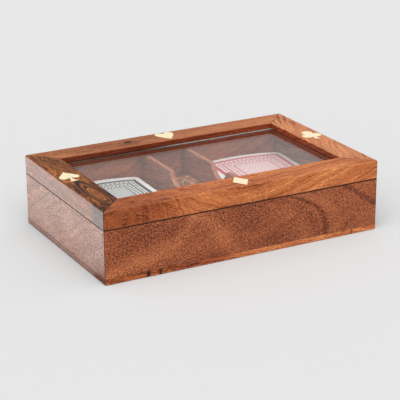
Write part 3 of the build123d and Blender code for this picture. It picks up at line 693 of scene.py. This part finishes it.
def make_deck(name, node, body, cx, cy, turn, seed, ink, strays):
    rnd = random.Random(seed)
    cols = card_columns()
    half = CARD_W / 2
    verts, faces, mats = [], [], []
    pitch = 18.1 / N_CARDS
    lift = 1.9 / N_CARDS
    for k in range(N_CARDS):
        dx, dy, da = rnd.gauss(0, 0.07), rnd.gauss(0, 0.09), math.radians(rnd.gauss(0, 0.10))
        if k in strays:
            sx, sy, sa = strays[k]
            dx, dy, da = dx + sx, dy + sy, da + math.radians(sa)
        if k == N_CARDS - 1:
            dx = dy = da = 0.0
        t = 0.31
        base = len(verts)
        m = len(cols)
        for top in (0, 1):
            for x, y in cols:
                bow = (1 - (x / half) ** 2)
                z0 = k * pitch + bow * lift * k
                z1 = z0 + t + bow * lift * 0.55
                if k == N_CARDS - 1:
                    z1 = 18.1 + bow * 1.9 - 0.02
                z = z1 if top else z0
                for yy in (-y, y):
                    xr = x * math.cos(da) - yy * math.sin(da) + dx
                    yr = x * math.sin(da) + yy * math.cos(da) + dy
                    verts.append((xr * MM, yr * MM, z * MM))
        lo, hi = base, base + 2 * m
        for i in range(m - 1):
            a, b, c, d = 2 * i, 2 * i + 1, 2 * i + 3, 2 * i + 2
            faces.append((hi + a, hi + d, hi + c, hi + b)); mats.append(0)
            faces.append((lo + a, lo + b, lo + c, lo + d)); mats.append(1)
            faces.append((lo + a, lo + d, hi + d, hi + a)); mats.append(1)
            faces.append((lo + b, hi + b, hi + c, lo + c)); mats.append(1)
        faces.append((lo + 0, hi + 0, hi + 1, lo + 1)); mats.append(1)
        e = 2 * (m - 1)
        faces.append((lo + e, lo + e + 1, hi + e + 1, hi + e)); mats.append(1)
    ob = new_object(name, verts, faces, mats, smooth=True)
    # every rim edge stays crisp
    bm = bmesh.new()
    bm.from_mesh(ob.data)
    bmesh.ops.remove_doubles(bm, verts=bm.verts, dist=1e-7)
    bmesh.ops.recalc_face_normals(bm, faces=bm.faces)
    for e in bm.edges:
        if len(e.link_faces) == 2 and e.calc_face_angle(0) > 0.9:
            e.smooth = False
    bm.to_mesh(ob.data)
    bm.free()
    ob.location = (cx * MM, (cy + Y_SHIFT) * MM, FLOOR_Z * MM)
    ob.rotation_euler = (0, 0, math.radians(turn))
    ob.data.materials.append(card_back(name + "_back", ink))
    ob.data.materials.append(card_stock(name + "_stock"))
    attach(ob, body)
    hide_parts(node)
    return ob


def card_stock(name):
    n = Net(name)
    x, y, z = n.local()
    layer = n.noise(z * 9.0, x * 0.03, y * 0.03, detail=2.0, rough=0.7)
    soil = n.noise(x * 0.12, y * 0.12, z * 0.4, detail=3.0)
    col = n.mix(n.clamp(layer), (0.60, 0.59, 0.57, 1.0), (0.86, 0.85, 0.83, 1.0))
    col = n.mix(n.step(soil, 0.45, 0.75) * 0.25, col, (0.55, 0.50, 0.44, 1.0))
    p = n.principled(Base_Color=col, Roughness=n.clamp(0.52 + (soil - 0.5) * 0.2), Normal=n.bump(layer, 0.25, 0.00005))
    n.surface(p.outputs[0])
    return n.mat


def card_back(name, ink):
    """A generic back: plain border, ruled bands, a chain of dots and a lattice field."""
    n = Net(name)
    x, y, z = n.local()
    ax, ay = abs(x), abs(y)
    hw, hl = CARD_W / 2, CARD_L / 2
    e = n.vmin(hw - ax, hl - ay)                   # distance in from the card's edge
    dark, mid, pale = ink

    def between(v, a, b, soft=0.12):
        return n.step(v, a - soft, a + soft) * n.step(v, b + soft, b - soft)

    def dots(u, v, pitch, size):
        fu = n.math("FRACT", u * (1.0 / pitch) + 50.5) - 0.5
        fv = n.math("FRACT", v * (1.0 / pitch) + 50.5) - 0.5
        return n.step(n.sqrt(fu * fu + fv * fv) * pitch, size + 0.12, size - 0.12)

    along = n.lerp(n.math("GREATER_THAN", hl - ay, hw - ax), x, y)
    frame1 = between(e, 4.2, 7.3)
    beads = dots(along, e - 9.2, 3.4, 1.0) * between(e, 7.9, 10.5)
    frame2 = between(e, 11.0, 12.4)
    # slanting strokes between the frames
    slant = n.math("FRACT", (along + e * 0.8) * (1.0 / 2.9) + 60.5) - 0.5
    strokes = n.step(abs(slant) * 2.9, 0.90, 0.62) * between(e, 13.2, 16.2)
    frame3 = between(e, 17.0, 18.2)
    inner = n.step(e, 18.2, 18.4)
    # plain lattice in the middle, with a dot in each mesh
    u, v = (x * 1.25 + y) * 0.64, (x * 1.25 - y) * 0.64
    lu = abs(n.math("FRACT", u * (1.0 / 3.9) + 40.5) - 0.5) * 3.9
    lv = abs(n.math("FRACT", v * (1.0 / 3.9) + 40.5) - 0.5) * 3.9
    lattice = n.step(n.vmin(lu, lv), 0.62, 0.34)
    pips = dots(u + 1.95, v + 1.95, 3.9, 0.72)
    m_dark = n.clamp(frame1 + frame2 + strokes * 0.9 + frame3 + beads)
    m_mid = n.clamp(inner * lattice * 0.60 + inner * pips * 0.70)
    m_pale = n.clamp(between(e, 7.3, 11.0) * 0.22 + between(e, 12.4, 17.0) * 0.18 + inner * 0.40)
    blot = n.noise(x * 0.8, y * 0.8, 1.0, detail=2.0)
    paper = n.mix(n.noise(x * 0.06, y * 0.06, 3.0, detail=3.0), (0.86, 0.86, 0.85, 1.0), (0.93, 0.93, 0.92, 1.0))
    col = n.mix(m_pale, paper, pale)
    col = n.mix(n.clamp(m_mid * (0.75 + (blot - 0.5) * 0.4)), col, mid)
    col = n.mix(n.clamp(m_dark * (0.95 + (blot - 0.5) * 0.3)), col, dark)
    linen = n.sin(x * 16.0) * n.sin(y * 16.0)
    scuff = n.noise(x * 0.15, y * 0.15, 7.0, detail=3.0, rough=0.6)
    nor = n.bump(linen * 0.5 + (scuff - 0.5), 0.15, 0.00004)
    p = n.principled(Base_Color=col, Roughness=n.clamp(0.36 + (scuff - 0.5) * 0.25), Normal=nor)
    n.surface(p.outputs[0])
    return n.mat


INK_BLACK = ((0.030, 0.032, 0.035, 1.0), (0.10, 0.105, 0.11, 1.0), (0.36, 0.37, 0.37, 1.0))
INK_RED = ((0.60, 0.035, 0.060, 1.0), (0.66, 0.13, 0.16, 1.0), (0.82, 0.44, 0.46, 1.0))
make_deck("black_deck_cards", "card_deck_black", "deck_black", -57.9, 2.3, -1.6, 11, INK_BLACK,
          {40: (0.3, 1.6, -0.4), 44: (0.1, 2.4, 0.5), 47: (0.6, 3.0, -0.9), 48: (0.2, 3.9, 0.7), 50: (0.5, 2.2, 0.8), 51: (0.2, 3.3, -0.9)})
make_deck("red_deck_cards", "card_deck_red", "deck_red", 56.1, 3.5, -4.0, 12, INK_RED,
          {47: (0.4, 0.7, 0.3)})

# --- dice: the wood keeps the die's own grain, and the drilled pips are painted pale ---
DICE = [(4.8, 31.5, 4.0), (3.7, 13.3, -9.0), (-4.7, -6.0, 14.0), (4.6, -25.3, 3.0), (-5.0, -43.7, -7.0)]


def die_material(i, cx, cy, turn):
    n = Net(f"die_wood_{i}")
    bx, by, bz = n.xyz()
    dx, dy, dz = bx - cx, by - cy, bz - (FLOOR_Z + 8.0)
    a = math.radians(turn)
    x = dx * math.cos(a) + dy * math.sin(a)
    y = dy * math.cos(a) - dx * math.sin(a)
    z = dz
    ax, ay, az = abs(x), abs(y), abs(z)
    big = n.vmax(ax, n.vmax(ay, az))
    small = n.vmin(ax, n.vmin(ay, az))
    mid = ax + ay + az - big - small
    pip = n.step(big, 7.93, 7.86) * n.step(mid, 6.1, 5.9)
    warp = n.noise(x * 0.08 + i * 7.0, y * 0.08, z * 0.08, detail=2.0)
    r = n.sqrt((x + 22.0) * (x + 22.0) + (z + 9.0 + i) * (z + 9.0 + i)) + (warp - 0.5) * 4.0
    lines = n.noise1(r * 0.8 + i * 3.0, detail=3.0, rough=0.6)
    fib = n.noise(y * 0.10, x * 1.6 + i, z * 1.6, detail=3.0, rough=0.6)
    pores = n.step(n.noise(y * 0.5, x * 2.2, z * 2.2 + i, detail=1.0), 0.60, 0.74)
    t = 0.45 + (lines - 0.5) * 0.9 + (fib - 0.5) * 0.6
    col = n.ramp(n.clamp(t), PAL_DIE)
    col = n.mix(pores * 0.55, col, (0.020, 0.009, 0.006, 1.0))
    edge = n.step(mid, 6.6, 7.6)
    col = n.mix(edge * 0.28, col, (0.40, 0.19, 0.09, 1.0))
    paint = n.mix(n.noise(x * 0.9, y * 0.9, z * 0.9, detail=2.0), (0.42, 0.34, 0.22, 1.0), (0.58, 0.50, 0.36, 1.0))
    col = n.mix(pip, col, paint)
    rough = 0.36 + (fib - 0.5) * 0.2 + pip * 0.15
    nor = n.bump((fib - 0.5) - pores, 0.25, 0.0001)
    p = n.principled(Base_Color=col, Roughness=n.clamp(rough), Normal=nor)
    p.inputs["Specular IOR Level"].default_value = 0.3
    n.surface(p.outputs[0])
    return n.mat


for i, (cx, cy, turn) in enumerate(DICE, 1):
    dress([f"die_{i}"], die_material(i, cx, cy, turn))


# ---------------------------------------------------------------------------
# Studio: pale floor, soft light all round
# ---------------------------------------------------------------------------
def make_floor():
    size = 6.0
    ob = new_object("studio_floor", [(-size, -size, -0.0002), (size, -size, -0.0002), (size, size, -0.0002), (-size, size, -0.0002)], [(0, 1, 2, 3)])
    n = Net("studio_floor")
    x, y, z = n.local()
    d = n.sqrt(x * x + y * y)
    soft = n.noise(x * 0.004, y * 0.004, 0.0, detail=2.0)
    col = n.mix(n.clamp((soft - 0.5) * 0.2 + 0.5), (0.675, 0.675, 0.675, 1.0), (0.685, 0.685, 0.685, 1.0))
    # painted light: close to the box the floor is tinted cooler and a touch lighter, to cancel the warm light and the
    # shade the wood throws on it
    gap_x, gap_y = n.vmax(abs(x) - HX, 0.0), n.vmax(abs(y - Y_SHIFT) - HY, 0.0)
    gap = n.sqrt(gap_x * gap_x + gap_y * gap_y)
    near = n.step(gap, 80.0, 0.0) ** 2.0
    col = n.mix(n.clamp(near), col, n.mix(1.0, col, (1.004, 1.034, 1.040, 1.0), "MULTIPLY"))
    # painted light: lighter still in front of the box, to cancel the box's shadow there
    painted_light_ahead = near * n.step(y, -58.0, -80.0)
    col = n.mix(n.clamp(painted_light_ahead), col, n.mix(1.0, col, (1.022, 1.026, 1.028, 1.0), "MULTIPLY"))
    p = n.principled(Base_Color=col, Roughness=0.85)
    p.inputs["Specular IOR Level"].default_value = 0.0
    n.surface(p.outputs[0])
    ob.data.materials.append(n.mat)


make_floor()


def make_card(name, corners, strength):
    """A bright card beside the set: the satin finish mirrors it, nothing else sees it."""
    ob = new_object(name, corners, [(0, 1, 2, 3)])
    n = Net(name)
    x, y, z = n.local()
    em = n.new("ShaderNodeEmission")
    off = abs(x) - HX
    n.put(em.inputs["Strength"], (n.step(off, 0.5, 16.0, 0.50, 1.0) + n.step(off, 20.0, 60.0, 0.0, 0.22)) * strength)
    n.surface(em.outputs[0])
    ob.data.materials.append(n.mat)
    ob.visible_camera = False
    ob.visible_diffuse = False
    ob.visible_transmission = False
    ob.visible_shadow = False
    ob.visible_volume_scatter = False


make_card("studio_card_left", [(-0.60, -0.045, 0.0002), (-0.1018, -0.045, 0.0002), (-0.1018, 0.75, 0.0002), (-0.60, 0.75, 0.0002)], 4.9)

world = bpy.data.worlds.new("studio")
bpy.context.scene.world = world
world.use_nodes = True
wt = world.node_tree
wt.nodes.clear()


class WNet(Net):
    def __init__(self):
        self.t = wt
        self._xyz = None


w = WNet()
tc = w.new("ShaderNodeTexCoord")
sep = w.new("ShaderNodeSeparateXYZ")
wt.links.new(tc.outputs["Generated"], sep.inputs[0])
gx, gy, gz = (Val(w, sep.outputs[i]) for i in range(3))
overhead = w.step(gz, 0.45, 0.95)
toward = gx * 0.47 + gy * 0.88
dim = w.step(toward, 0.30, 0.80) * w.step(gz, 0.80, 0.45)
side = w.step(gx, 0.1, -0.9) * w.step(gz, 0.9, 0.2)
level = 0.60 + overhead * 0.50 + side * 0.25
across = gx * 0.88 - gy * 0.47
level = w.lerp(dim, level, w.step(across, -0.16, 0.16, 0.40, 0.62))
lp = w.new("ShaderNodeLightPath")
level = w.lerp(Val(w, lp.outputs["Is Camera Ray"]), level, 0.80)
bg = w.new("ShaderNodeBackground")
w.put(bg.inputs["Strength"], level)
wo = w.new("ShaderNodeOutputWorld")
wt.links.new(bg.outputs[0], wo.inputs["Surface"])

sun = bpy.data.lights.new("studio_key", "SUN")
sun.energy = 2.0
sun.angle = math.radians(70)
so = bpy.data.objects.new("studio_key", sun)
so.rotation_euler = Vector((0.395, 0.74, -1.0)).to_track_quat("-Z", "Y").to_euler()
bpy.context.scene.collection.objects.link(so)


# ---------------------------------------------------------------------------
# Camera at the photograph's viewing angle
# ---------------------------------------------------------------------------
def make_camera():
    az, el, roll = (math.radians(v) for v in (-28.2441, 20.0126, -0.3202))
    dist, focal, tx, ty, unit = 5.0026, 1475.83, -0.0014, 0.0863, 203.0
    back = Vector((math.sin(az) * math.cos(el), -math.cos(az) * math.cos(el), math.sin(el)))
    fwd = -back
    right = fwd.cross(Vector((0, 0, 1))).normalized()
    up = right.cross(fwd)
    c, s = math.cos(roll), math.sin(roll)
    right, up = c * right + s * up, -s * right + c * up
    centre = (back * dist + right * tx + up * ty) * unit
    centre.y += Y_SHIFT
    cam = bpy.data.cameras.new("camera")
    cam.sensor_fit = "HORIZONTAL"
    cam.sensor_width = 36.0
    cam.lens = focal / 400.0 * 36.0
    cam.clip_start, cam.clip_end = 0.05, 50.0
    ob = bpy.data.objects.new("camera", cam)
    rot = Matrix((right, up, back)).transposed().to_4x4()
    ob.matrix_world = Matrix.Translation(centre * MM) @ rot
    bpy.context.scene.collection.objects.link(ob)
    bpy.context.scene.camera = ob


make_camera()

sc = bpy.context.scene
sc.view_settings.view_transform = "Standard"
sc.view_settings.look = "None"
sc.view_settings.exposure = 0.0
sc.view_settings.gamma = 1.0
